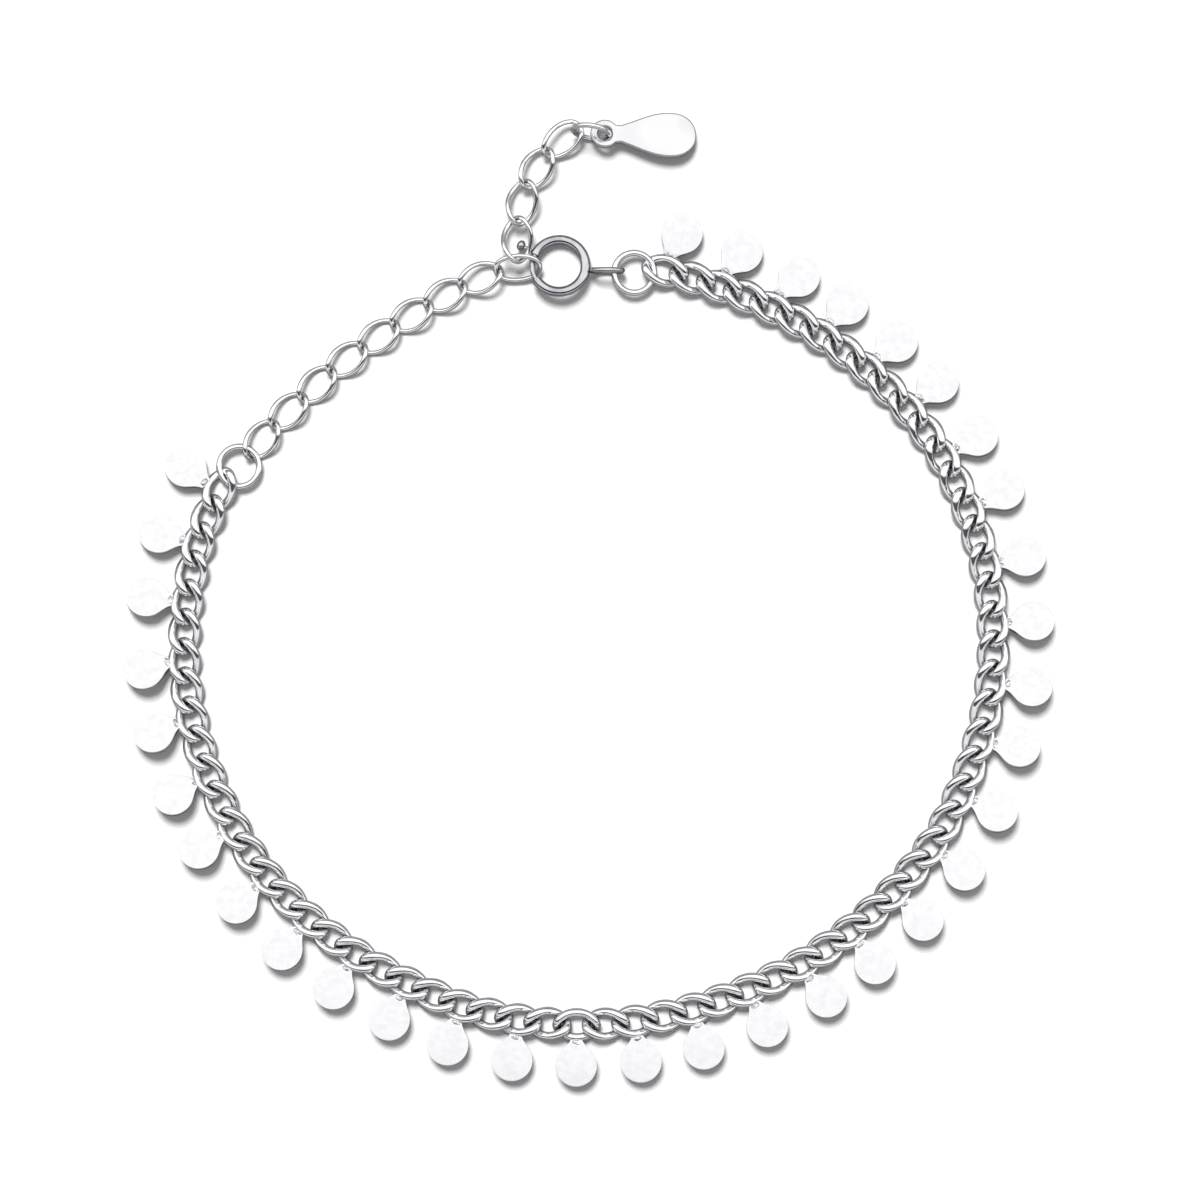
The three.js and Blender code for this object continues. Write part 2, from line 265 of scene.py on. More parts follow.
# Silver sheet, stamped and brushed to a satin: a light grey that spreads the light softly.
TAG_SILVER = SilverFinish(
    "satin_stamped_sterling_silver", "#E4E4E5", "#D9D9DB",
    roughness=0.24, roughness_spread=0.03, ripple_mm=2.6, ripple_height_mm=0.03,
    grain_mm=0.3, grain_height_mm=0.0004, metallic=0.95, ripple_detail=0.0,
)
# Silver solder, flowed and left as it cooled: a grainy surface that glitters.
SOLDER_SILVER = SilverFinish(
    "flowed_silver_solder", "#F0F0F2", "#A9AAAE",
    roughness=0.2, roughness_spread=0.1, ripple_mm=0.4, ripple_height_mm=0.04,
    grain_mm=0.14, grain_height_mm=0.03, metallic=0.9,
)
# Rhodium-plated clasp: a darker grey than the chain's silver.
CLASP_SILVER = SilverFinish(
    "rhodium_plated_clasp_silver", "#CDCDD0", "#AEAEB2",
    roughness=0.1, roughness_spread=0.04, ripple_mm=1.4, ripple_height_mm=0.01,
    grain_mm=0.2, grain_height_mm=0.002,
)


def deselect_all() -> None:
    """Select nothing, so that a new primitive is all that is selected."""
    bpy.ops.object.select_all(action="DESELECT")


def select_only(piece: bpy.types.Object) -> None:
    """Select one piece and nothing else, and make it active.

    Args:
        piece: the piece to work on.
    """
    deselect_all()
    piece.select_set(True)
    bpy.context.view_layer.objects.active = piece


def name_new(name: str) -> bpy.types.Object:
    """Name the piece that was just added, and its mesh.

    Args:
        name: the name for both.

    Returns:
        The piece.
    """
    piece = bpy.context.object
    piece.name = name
    piece.data.name = name
    return piece


def turned(axis: str, angle: float) -> Matrix:
    """A turn about an axis by an angle in degrees."""
    return Matrix.Rotation(math.radians(angle), 4, axis)


def place_in_mesh(piece: bpy.types.Object, place: Matrix) -> None:
    """Move a piece to its place and put that place into its mesh.

    Args:
        piece: the piece, modelled about the origin.
        place: where it goes.
    """
    piece.matrix_world = place
    select_only(piece)
    bpy.ops.object.transform_apply(location=True, rotation=True, scale=True)


def copy_piece(piece: bpy.types.Object, name: str) -> bpy.types.Object:
    """Copy a piece with a mesh of its own.

    Args:
        piece: the pattern.
        name: the copy's name.

    Returns:
        The copy.
    """
    twin = piece.copy()
    twin.data = piece.data.copy()
    twin.name = name
    twin.data.name = name
    bpy.context.collection.objects.link(twin)
    return twin


def drop_piece(piece: bpy.types.Object) -> None:
    """Delete a piece that served only as a pattern or a cutter."""
    bpy.data.objects.remove(piece, do_unlink=True)


def dress(piece: bpy.types.Object, finish: bpy.types.Material) -> None:
    """Give a piece its material, and no other."""
    piece.data.materials.clear()
    piece.data.materials.append(finish)


def clean_normals(piece: bpy.types.Object, merge_mm: float = 0.0005) -> None:
    """Merge a piece's double points and turn all its faces outward.

    Args:
        piece: the piece to mend.
        merge_mm: how near two points are to become one.
    """
    select_only(piece)
    bpy.ops.object.mode_set(mode="EDIT")
    bpy.ops.mesh.select_all(action="SELECT")
    bpy.ops.mesh.remove_doubles(threshold=merge_mm * MM)
    bpy.ops.mesh.normals_make_consistent(inside=False)
    bpy.ops.object.mode_set(mode="OBJECT")


def apply_boolean(piece: bpy.types.Object, other: bpy.types.Object, operation: str) -> None:
    """Cut a piece with another, or join the two, and delete the other.

    Args:
        piece: the piece that stays.
        other: the cutter, or the piece to join.
        operation: DIFFERENCE or UNION.
    """
    select_only(piece)
    change = piece.modifiers.new("shape", "BOOLEAN")
    change.operation = operation
    change.solver = "EXACT"
    change.object = other
    bpy.ops.object.modifier_apply(modifier=change.name)
    drop_piece(other)


def round_edges(piece: bpy.types.Object, width: float) -> None:
    """Round a piece's sharp edges.

    Args:
        piece: the piece to soften.
        width: how far the rounding reaches from an edge, in millimetres.
    """
    select_only(piece)
    soften = piece.modifiers.new("edge", "BEVEL")
    soften.width = width * MM
    soften.segments = EDGE_STEPS
    soften.limit_method = "ANGLE"
    soften.angle_limit = math.radians(SHARP_EDGE)
    bpy.ops.object.modifier_apply(modifier=soften.name)


def finish_piece(piece: bpy.types.Object, body: Body, node: str) -> None:
    """Fix a piece to its body and the CAD node that it stands for.

    Args:
        piece: the finished piece.
        body: the body that it moves with.
        node: the CAD node that it replaces.
    """
    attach(piece, body.value)
    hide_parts(node)


def axes_place(along: Vector, above: Vector, where: Vector) -> Matrix:
    """The place whose X runs along a direction, with Z as near as can be to another.

    Args:
        along: the direction of local X.
        above: the direction that local Z keeps near to.
        where: the place of the local origin.

    Returns:
        The place as a matrix.
    """
    x_axis = along.normalized()
    y_axis = above.cross(x_axis).normalized()
    z_axis = x_axis.cross(y_axis)
    turn = Matrix((x_axis, y_axis, z_axis)).transposed().to_4x4()
    return Matrix.Translation(where) @ turn


@dataclass
class Route:
    """A smooth line through points, measured by its length."""

    points: list[Vector]
    samples_each: int = 60
    line: list[Vector] = field(init=False)
    lengths: list[float] = field(init=False)

    def __post_init__(self) -> None:
        """Sample the line and add up its length."""
        first = 2 * self.points[0] - self.points[1]
        last = 2 * self.points[-1] - self.points[-2]
        knots = [first, *self.points, last]
        self.line = []
        for i in range(1, len(knots) - 2):
            for step in range(self.samples_each):
                self.line.append(self._between(knots[i - 1:i + 3], step / self.samples_each))
        self.line.append(self.points[-1].copy())
        self.lengths = [0.0]
        for before, after in zip(self.line, self.line[1:]):
            self.lengths.append(self.lengths[-1] + (after - before).length)

    @staticmethod
    def _between(knots: list[Vector], share: float) -> Vector:
        """Work out a point on a centripetal Catmull-Rom curve.

        Args:
            knots: four points in a row, of which the middle two bound the stretch.
            share: how far along that stretch the point lies, from 0 to 1.

        Returns:
            The point.
        """
        before, start, end, after = knots
        gaps = [(b - a).length ** 0.5 for a, b in zip(knots, knots[1:])]
        leave = ((start - before) / gaps[0] - (end - before) / (gaps[0] + gaps[1])
                 + (end - start) / gaps[1]) * gaps[1]
        arrive = ((end - start) / gaps[1] - (after - start) / (gaps[1] + gaps[2])
                  + (after - end) / gaps[2]) * gaps[1]
        square = share * share
        cube = square * share
        return (start * (2 * cube - 3 * square + 1) + leave * (cube - 2 * square + share)
                + end * (3 * square - 2 * cube) + arrive * (cube - square))

    @property
    def length(self) -> float:
        """The whole length."""
        return self.lengths[-1]

    def point_at(self, length: float) -> Vector:
        """Find the point at a length along the line, straight on past its ends.

        Args:
            length: the length from the line's start.

        Returns:
            The point.
        """
        last = len(self.lengths) - 2
        i = next((k for k in range(last + 1) if self.lengths[k + 1] >= length), last)
        share = (length - self.lengths[i]) / (self.lengths[i + 1] - self.lengths[i])
        return self.line[i].lerp(self.line[i + 1], share)

    def tangent_at(self, length: float, reach: float = 0.5 * MM) -> Vector:
        """The direction of travel at a length along the line."""
        return (self.point_at(length + reach) - self.point_at(length - reach)).normalized()


@dataclass
class WireLink:
    """A closed oval of round wire, along X, whose cross line turns from one end to the other."""

    half_length: float
    half_width: float
    wire: float
    start_twist: float
    end_twist: float
    cuts_each: int = 3
    points_each: int = 4
    section_rounding: int = 5

    def build(self, name: str) -> bpy.types.Object:
        """Bend the wire.

        Args:
            name: the new piece's name.

        Returns:
            The link as a mesh about the origin.
        """
        deselect_all()
        bpy.ops.curve.primitive_bezier_circle_add(radius=MM)
        link = name_new(name)
        bpy.ops.object.mode_set(mode="EDIT")
        bpy.ops.curve.select_all(action="SELECT")
        bpy.ops.transform.resize(
            value=(self.half_length, self.half_width, 1.0), center_override=HOME,
        )
        bpy.ops.curve.subdivide(number_cuts=self.cuts_each)
        bpy.ops.object.mode_set(mode="OBJECT")
        turn = link.modifiers.new("turn", "SIMPLE_DEFORM")
        turn.deform_method = "TWIST"
        turn.deform_axis = "X"
        turn.angle = math.radians(self.end_twist - self.start_twist)
        turn.use_apply_on_spline = True
        link.data.dimensions = "3D"
        link.data.resolution_u = self.points_each
        link.data.bevel_depth = self.wire / 2 * MM
        link.data.bevel_resolution = self.section_rounding
        select_only(link)
        bpy.ops.object.convert(target="MESH")
        link = name_new(name)
        place_in_mesh(link, turned("X", (self.start_twist + self.end_twist) / 2))
        clean_normals(link)
        bpy.ops.object.shade_smooth()
        return link


# Points on the chain's centre line, seen from above, in millimetres, before the shift to the frame.
CHAIN_POINTS = [
    (5.4, 26.6), (10.5, 25.1), (15.4, 23), (20, 20.2), (24.1, 16.7), (27.5, 12.6), (30, 7.8),
    (31.6, 2.7), (32.2, -2.6), (31.8, -7.9), (30.4, -13.1), (28.2, -18), (25, -22.3), (21.1, -26),
    (16.7, -29), (11.8, -31.3), (6.7, -32.9), (1.4, -33.7), (-3.9, -33.6), (-9.2, -32.6),
    (-14.2, -30.6), (-18.9, -28), (-23.1, -24.7), (-26.7, -20.7), (-29.4, -16.1), (-31.3, -11.1),
    (-32.3, -5.8), (-32.2, -0.5), (-31.2, 4.8), (-29.2, 9.8),
]

# Joints of the extender from the left jump ring to the link that the clasp holds.
EXTENDER_POINTS = [
    (-27.2, 11.75, 0.75), (-25.2, 14.2, 0.66), (-22.7, 16.5, 0.62), (-20.35, 18.7, 0.62),
    (-17.8, 20.55, 0.62), (-15.25, 22.3, 0.66), (-12.55, 23.9, 0.75), (-9.9, 25.4, 0.85),
    (-7.3, 26.45, 0.98),
]

# Joints of the free tail, from the held link's upper bar to the tag's ring.
TAIL_POINTS = [
    (-5.84, 27.34, 1.7), (-5.75, 30.5, 1.32), (-5, 33.55, 1.05), (-3.3, 36, 0.95), (-1.05, 37.85, 1),
]

RIGHT_RING_MIDDLE = Vector((3.52, 26.27, 0.9))


def to_frame(point: tuple[float, ...], height: float = 0.0) -> Vector:
    """Turn a point in millimetres to the frame's metres.

    Args:
        point: x and y, and z if it has one.
        height: z in millimetres for a point without one.

    Returns:
        The point in the frame.
    """
    low, high = (Vector(corner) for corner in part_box("jump_ring_right"))
    shift = (low + high) / 2 - RIGHT_RING_MIDDLE * MM
    z = point[2] if len(point) > 2 else height
    return Vector((point[0] * MM + shift.x, point[1] * MM + shift.y, z * MM))


class LugRow(NamedTuple):
    """A step in drawing a disc's lug out: how far along, how wide and thick, how much bend is kept."""

    share: float
    width: float
    thickness: float
    bend_kept: float


@dataclass
class DiscCharm:
    """A round disc drawn out to a short lug, about the disc's middle, with the lug towards -X."""

    diameter: float = 3.32
    thickness: float = 0.5
    crown: float = 0.03
    edge: float = 0.18
    sides: int = 72
    rings: int = 5
    # How far up or down the normal of a flat face reaches, of 1.
    flat_face: float = 0.9
    lug_spread: float = 44.0
    lug_rows: tuple[LugRow, ...] = (
        LugRow(0.3, 1.58, 0.46, 0.5), LugRow(0.65, 1.14, 0.4, 0.5), LugRow(1.0, 0.92, 0.34, 0.4),
    )

    def build(self, name: str, reach: float) -> bpy.types.Object:
        """Blank the disc, dome its faces and draw its lug out of the rim.

        Args:
            name: the new piece's name.
            reach: how far the lug reaches from the disc's middle, in millimetres.

        Returns:
            The charm as a mesh about the disc's middle.
        """
        deselect_all()
        bpy.ops.mesh.primitive_cylinder_add(
            vertices=self.sides, radius=self.diameter / 2 * MM, depth=self.thickness * MM,
        )
        disc = name_new(name)
        self._dome(disc)
        self._draw_lug(disc, reach)
        round_edges(disc, self.edge)
        bpy.ops.object.shade_smooth_by_angle(angle=math.radians(SHARP_EDGE))
        return disc

    def _dome(self, disc: bpy.types.Object) -> None:
        """Raise both faces to a shallow dome in rings.

        Args:
            disc: the blanked disc.
        """
        radius = self.diameter / 2
        for side in (1.0, -1.0):
            for face in disc.data.polygons:
                face.select = face.normal.z * side > self.flat_face
            bpy.ops.object.mode_set(mode="EDIT")
            bpy.ops.mesh.select_mode(type="FACE")
            bpy.ops.mesh.inset(thickness=self.edge * MM, use_even_offset=False)
            height = 0.0
            for ring in range(1, self.rings + 1):
                bpy.ops.mesh.inset(
                    thickness=(radius - self.edge) / (self.rings + 1) * MM, use_even_offset=False,
                )
                next_height = self.crown * (1 - (1 - ring / (self.rings + 1)) ** 2)
                bpy.ops.transform.translate(value=(0.0, 0.0, side * (next_height - height) * MM))
                height = next_height
            bpy.ops.mesh.select_all(action="DESELECT")
            bpy.ops.object.mode_set(mode="OBJECT")

    def _draw_lug(self, disc: bpy.types.Object, reach: float) -> None:
        """Draw the rim on the chain's side out to the lug, row by row.

        Args:
            disc: the domed disc.
            reach: how far the lug reaches from the disc's middle, in millimetres.
        """
        for face in disc.data.polygons:
            face.select = face.normal.x < -math.cos(math.radians(self.lug_spread))
        bpy.ops.object.mode_set(mode="EDIT")
        radius = self.diameter / 2
        place = radius
        width = self.diameter * math.sin(math.radians(self.lug_spread))
        thickness = self.thickness
        for row in self.lug_rows:
            next_place = radius + (reach - radius) * row.share
            bpy.ops.mesh.extrude_region_move(
                TRANSFORM_OT_translate={"value": ((place - next_place) * MM, 0.0, 0.0)},
            )
            bpy.ops.transform.resize(
                value=(row.bend_kept, row.width / width, row.thickness / thickness),
                center_override=(-next_place * MM, 0.0, 0.0),
            )
            place, width, thickness = next_place, row.width, row.thickness
        bpy.ops.object.mode_set(mode="OBJECT")


@dataclass
class SolderJoint:
    """The lump of solder that holds a disc's lug to its link, lumpy and as it cooled."""

    half_sizes: tuple[float, float, float] = (0.3, 0.5, 0.25)
    lump: float = 0.2
    lump_height: float = 0.14
    fineness: int = 4

    def build(self, name: str, place: Matrix) -> bpy.types.Object:
        """Lay a drop of solder and let it run unevenly.

        Args:
            name: the new piece's name.
            place: where the drop lies, its Y along the chain.

        Returns:
            The lump in its place.
        """
        deselect_all()
        bpy.ops.mesh.primitive_ico_sphere_add(subdivisions=self.fineness, radius=MM)
        drop = name_new(name)
        place_in_mesh(drop, place @ Matrix.Diagonal((*self.half_sizes, 1.0)))
        flow = bpy.data.textures.get("solder_flow") or bpy.data.textures.new("solder_flow", "CLOUDS")
        flow.noise_scale = self.lump * MM
        run = drop.modifiers.new("run", "DISPLACE")
        run.texture = flow
        run.texture_coords = "GLOBAL"
        run.strength = self.lump_height * MM
        select_only(drop)
        bpy.ops.object.modifier_apply(modifier=run.name)
        bpy.ops.object.shade_smooth()
        return drop


@dataclass
class CurbChain:
    """The twisted curb links and the discs that hang on every second one."""

    half_length: float = 1.6
    half_width: float = 1.0
    wire: float = 0.7
    twist: float = 47.0
    height: float = 0.76
    links: int = 67
    turning_link: int = 41
    # The first few links lie closer than the rest.
    first_place: float = 0.6
    close_pitch: float = 2.26
    close_links: int = 10
    pitch: float = 2.346
    discs: int = 34
    # How far out a disc's middle and its lug's root lie, how high the root is, and how the disc leans.
    disc_reach: float = 3.22
    most_tilt: float = 24.0
    least_tilt: float = 4.0
    lug_root: float = 1.12
    lug_height: float = 0.95
    # How far a disc hangs further on along the chain than its link, by the disc's number.
    shifts: dict[int, float] = field(default_factory=lambda: {
        1: 0.5, 2: 0.8, 3: 0.9, 4: 0.45, 5: 0.45, 8: -0.4, 12: -0.35, 17: -0.45, 18: -0.3,
        29: -0.4, 30: -0.4, 31: -0.6, 34: 0.6,
    })
    charm: DiscCharm = field(default_factory=DiscCharm)
    solder: SolderJoint = field(default_factory=SolderJoint)
    solder_from_root: float = 0.26
    solder_rise: float = 0.03
    route: Route = field(init=False)

    def __post_init__(self) -> None:
        """Lay out the centre line."""
        self.route = Route([to_frame(point, self.height) for point in CHAIN_POINTS])

    def place_of(self, link: int) -> float:
        """Find where along the route a link's middle lies.

        Args:
            link: the link's number, counted from 1.

        Returns:
            The length from the route's start, in metres.
        """
        before = link - 1
        close = min(before, self.close_links - 1)
        return (self.first_place + close * self.close_pitch + (before - close) * self.pitch) * MM

    def build(self) -> list[bpy.types.Object]:
        """Make the links and the discs.

        Returns:
            All the chain's pieces.
        """
        silver = CHAIN_SILVER.material()
        left = self._pattern("left_hand_link", -self.twist, self.twist)
        right = self._pattern("right_hand_link", self.twist, -self.twist)
        middle = self._turning_pattern()
        made = []
        for number in range(1, self.links + 1):
            pattern = left if number < self.turning_link else right
            if number == self.turning_link:
                pattern = middle
            link = copy_piece(pattern, f"curb_link_{number:02d}")
            here = self.place_of(number)
            place_in_mesh(link, axes_place(self.route.tangent_at(here), UP, self.route.point_at(here)))
            dress(link, silver)
            finish_piece(link, Body.BRACELET, "chain_with_discs")
            made.append(link)
        for pattern in (left, right, middle):
            drop_piece(pattern)
        return made + self._discs()

    def _pattern(self, name: str, start: float, end: float) -> bpy.types.Object:
        """One link with the given twists."""
        return WireLink(self.half_length, self.half_width, self.wire, start, end).build(name)

    def _turning_pattern(self) -> bpy.types.Object:
        """Make the link where the chain's twist changes sides.

        Returns:
            A link whose two ends turn the same way.
        """
        link = self._pattern("turning_link", 0.0, 0.0)
        for vertex in link.data.vertices:
            share = min(abs(vertex.co.x) / (self.half_length * MM), 1.0)
            turn = Matrix.Rotation(math.radians(-self.twist) * share * share, 3, "X")
            vertex.co = turn @ vertex.co
        return link

    def _discs(self) -> list[bpy.types.Object]:
        """Make the discs, each soldered to the outer bar of its link.

        Returns:
            The discs and their solder.
        """
        silver = DISC_SILVER.material()
        solder = SOLDER_SILVER.material()
        made = []
        for number in range(1, self.discs + 1):
            root, middle, facing = self._hang(number)
            run = middle - root
            disc = self.charm.build(f"disc_{number:02d}", run.length / MM)
            place_in_mesh(disc, axes_place(run, facing, middle))
            dress(disc, silver)
            spot = root + run.normalized() * self.solder_from_root * MM
            spot += facing * self.solder_rise * MM
            joint = self.solder.build(f"solder_{number:02d}", axes_place(run, facing, spot))
            dress(joint, solder)
            for piece in (disc, joint):
                finish_piece(piece, Body.BRACELET, "chain_with_discs")
                made.append(piece)
        return made

    def _hang(self, number: int) -> tuple[Vector, Vector, Vector]:
        """Work out how a disc hangs: it leans north, and more so on the loop's sides.

        Args:
            number: the disc's number, counted from 1.

        Returns:
            The root of its lug, its middle, and the direction that its face looks in.
        """
        here = self.place_of(2 * number - 1)
        shifted = here + self.shifts.get(number, 0.0) * MM
        outward = UP.cross(self.route.tangent_at(here))
        sideways = 1 - abs(outward.y)
        tilt = math.radians(self.least_tilt + (self.most_tilt - self.least_tilt) * sideways)
        lever = (self.disc_reach - self.lug_root) * MM
        root = self.route.point_at(here) + outward * self.lug_root * MM
        root.z = self.lug_height * MM
        middle = self.route.point_at(shifted) + outward * self.disc_reach * MM
        middle.z = root.z - outward.y * lever * math.sin(tilt)
        return root, middle, Vector((0.0, math.sin(tilt), math.cos(tilt)))


@dataclass
class Extender:
    """The open links from the left jump ring to the clasp, the held link, and the free tail."""

    half_length: float = 1.78
    half_width: float = 1.11
    wire: float = 0.39
    twist: float = 45.0
    first_twist: float = 52.0
    row_links: int = 8
    held_middle: tuple[float, float, float] = (-5.76, 26.64, 1.05)
    held_heading: float = 4.0
    held_twists: tuple[float, float] = (34.0, 36.0)
    tail_links: int = 4
    tail_twists: tuple[float, float] = (47.5, -15.0)

    def build(self) -> list[bpy.types.Object]:
        """Make all the extender's links.

        Returns:
            The links from the left jump ring to the tag's ring.
        """
        silver = CHAIN_SILVER.material()
        made = self._row(EXTENDER_POINTS, self.row_links, 1, (self.first_twist, -self.twist))
        held = self._link(self.row_links + 1, self.held_twists)
        turn = turned("Z", self.held_heading)
        place_in_mesh(held, Matrix.Translation(to_frame(self.held_middle)) @ turn)
        made.append(held)
        made += self._row(TAIL_POINTS, self.tail_links, self.row_links + 2, self.tail_twists)
        for link in made:
            dress(link, silver)
            finish_piece(link, Body.BRACELET, link.name.replace("open_", "extender_"))
        return made

    def _link(self, number: int, twists: tuple[float, float]) -> bpy.types.Object:
        """One link about the origin."""
        link = WireLink(self.half_length, self.half_width, self.wire, *twists)
        return link.build(f"open_link_{number:02d}")

    def _row(
        self, points: list[tuple[float, ...]], count: int, first: int, twists: tuple[float, float],
    ) -> list[bpy.types.Object]:
        """Make links at equal steps along a route of joints.

        Args:
            points: the route's points in millimetres.
            count: how many links.
            first: the first link's number.
            twists: the first link's twist at its start and the last one's at its end.

        Returns:
            The links in order.
        """
        route = Route([to_frame(point) for point in points])
        joints = [route.point_at(route.length * i / count) for i in range(count + 1)]
        made = []
        for i in range(count):
            start = twists[0] if i == 0 else self.twist
            end = twists[1] if i == count - 1 else -self.twist
            link = self._link(first + i, (start, end))
            run = joints[i + 1] - joints[i]
            place_in_mesh(link, axes_place(run, UP, (joints[i] + joints[i + 1]) / 2))
            made.append(link)
        return made


@dataclass
class JumpRings:
    """The two jump rings at the chain's ends, and the ring that carries the tag."""

    diameter: float = 3.7
    wire: float = 0.52
    right_tilt: float = 5.4
    left_middle: tuple[float, float, float] = (-28.0, 10.81, 0.75)
    tag_diameter: float = 3.3
    tag_wire: float = 0.42
    tag_middle: tuple[float, float, float] = (0.08, 37.44, 1.64)
    tag_heading: float = -8.0
    tag_lean: float = 15.0
    steps: int = 72
    sides: int = 20

    def build(self) -> list[bpy.types.Object]:
        """Make the three rings.

        Returns:
            The right, left and tag rings.
        """
        silver = CHAIN_SILVER.material()
        right = self._ring("right_ring", self.diameter, self.wire)
        tilt = turned("Y", self.right_tilt)
        place_in_mesh(right, Matrix.Translation(to_frame(RIGHT_RING_MIDDLE)) @ tilt)
        left = self._ring("left_ring", self.diameter, self.wire)
        place_in_mesh(left, Matrix.Translation(to_frame(self.left_middle)))
        tag = self._ring("tag_carrier_ring", self.tag_diameter, self.tag_wire)
        stand = turned("Z", self.tag_heading) @ turned("X", 90 - self.tag_lean)
        place_in_mesh(tag, Matrix.Translation(to_frame(self.tag_middle)) @ stand)
        nodes = {"jump_ring_right": right, "jump_ring_left": left, "tag_ring": tag}
        for node, ring in nodes.items():
            dress(ring, silver)
            finish_piece(ring, Body.BRACELET, node)
        return list(nodes.values())

    def _ring(self, name: str, diameter: float, wire: float) -> bpy.types.Object:
        """Make a round ring of wire, soldered shut.

        Args:
            name: the new piece's name.
            diameter: the outer diameter in millimetres.
            wire: the wire's diameter in millimetres.

        Returns:
            The ring as a mesh about the origin.
        """
        deselect_all()
        bpy.ops.mesh.primitive_torus_add(
            major_segments=self.steps, minor_segments=self.sides,
            major_radius=(diameter - wire) / 2 * MM, minor_radius=wire / 2 * MM,
        )
        ring = name_new(name)
        bpy.ops.object.shade_smooth()
        return ring


@dataclass
class TeardropTag:
    """A flat teardrop plate with a round eye."""

    middle: tuple[float, float, float] = (1.18, 37.32, 1.08)
    heading: float = -1.0
    pitch: float = 3.0
    roll: float = -14.0
    thickness: float = 0.6
    edge: float = 0.16
    eye_radius: float = 1.16
    eye_end: float = 40.0
    eye_steps: int = 28
    hole_radius: float = 0.58
    hole_sides: int = 40
    smooth_below: float = 40.0
    # Distance from the eye's middle and half the plate's width there.
    profile: tuple[tuple[float, float], ...] = (
        (1.3, 0.72), (2.2, 1.06), (3.2, 1.46), (4.2, 1.76), (5.2, 1.86), (6.1, 1.72), (6.8, 1.27),
        (7.2, 0.62), (7.3, 0.0),
    )
    profile_steps: int = 6

    def build(self) -> list[bpy.types.Object]:
        """Make the tag.

        Returns:
            The tag in its place, as the only piece.
        """
        outline = self._outline()
        deselect_all()
        bpy.ops.mesh.primitive_circle_add(vertices=len(outline), radius=MM, fill_type="NGON")
        tag = name_new("teardrop_plate")
        for vertex, point in zip(tag.data.vertices, outline):
            vertex.co = point * MM
        bpy.ops.object.mode_set(mode="EDIT")
        bpy.ops.mesh.select_all(action="SELECT")
        bpy.ops.transform.translate(value=(0.0, 0.0, -self.thickness / 2 * MM))
        bpy.ops.mesh.extrude_region_move(
            TRANSFORM_OT_translate={"value": (0.0, 0.0, self.thickness * MM)},
        )
        bpy.ops.object.mode_set(mode="OBJECT")
        clean_normals(tag)
        punch_length = 3 * self.thickness
        bpy.ops.mesh.primitive_cylinder_add(
            vertices=self.hole_sides, radius=self.hole_radius * MM, depth=punch_length * MM,
        )
        apply_boolean(tag, bpy.context.object, "DIFFERENCE")
        round_edges(tag, self.edge)
        bpy.ops.object.shade_smooth_by_angle(angle=math.radians(self.smooth_below))
        lie = turned("Z", self.heading) @ turned("Y", self.pitch) @ turned("X", self.roll)
        place_in_mesh(tag, Matrix.Translation(to_frame(self.middle)) @ lie)
        dress(tag, TAG_SILVER.material())
        finish_piece(tag, Body.BRACELET, "teardrop_tag")
        return [tag]

    def _outline(self) -> list[Vector]:
        """Draw the plate's outline.

        Returns:
            Its points, anticlockwise, from the eye's end above the neck.
        """
        upper = Route([Vector((x, y, 0.0)) for x, y in self.profile], self.profile_steps).line
        lower = [Vector((p.x, -p.y, 0.0)) for p in upper[:-1]]
        eye = []
        for i in range(self.eye_steps + 1):
            angle = math.radians(self.eye_end + (360 - 2 * self.eye_end) * i / self.eye_steps)
            eye.append(Vector((math.cos(angle), math.sin(angle), 0.0)) * self.eye_radius)
        return eye + lower + upper[::-1]


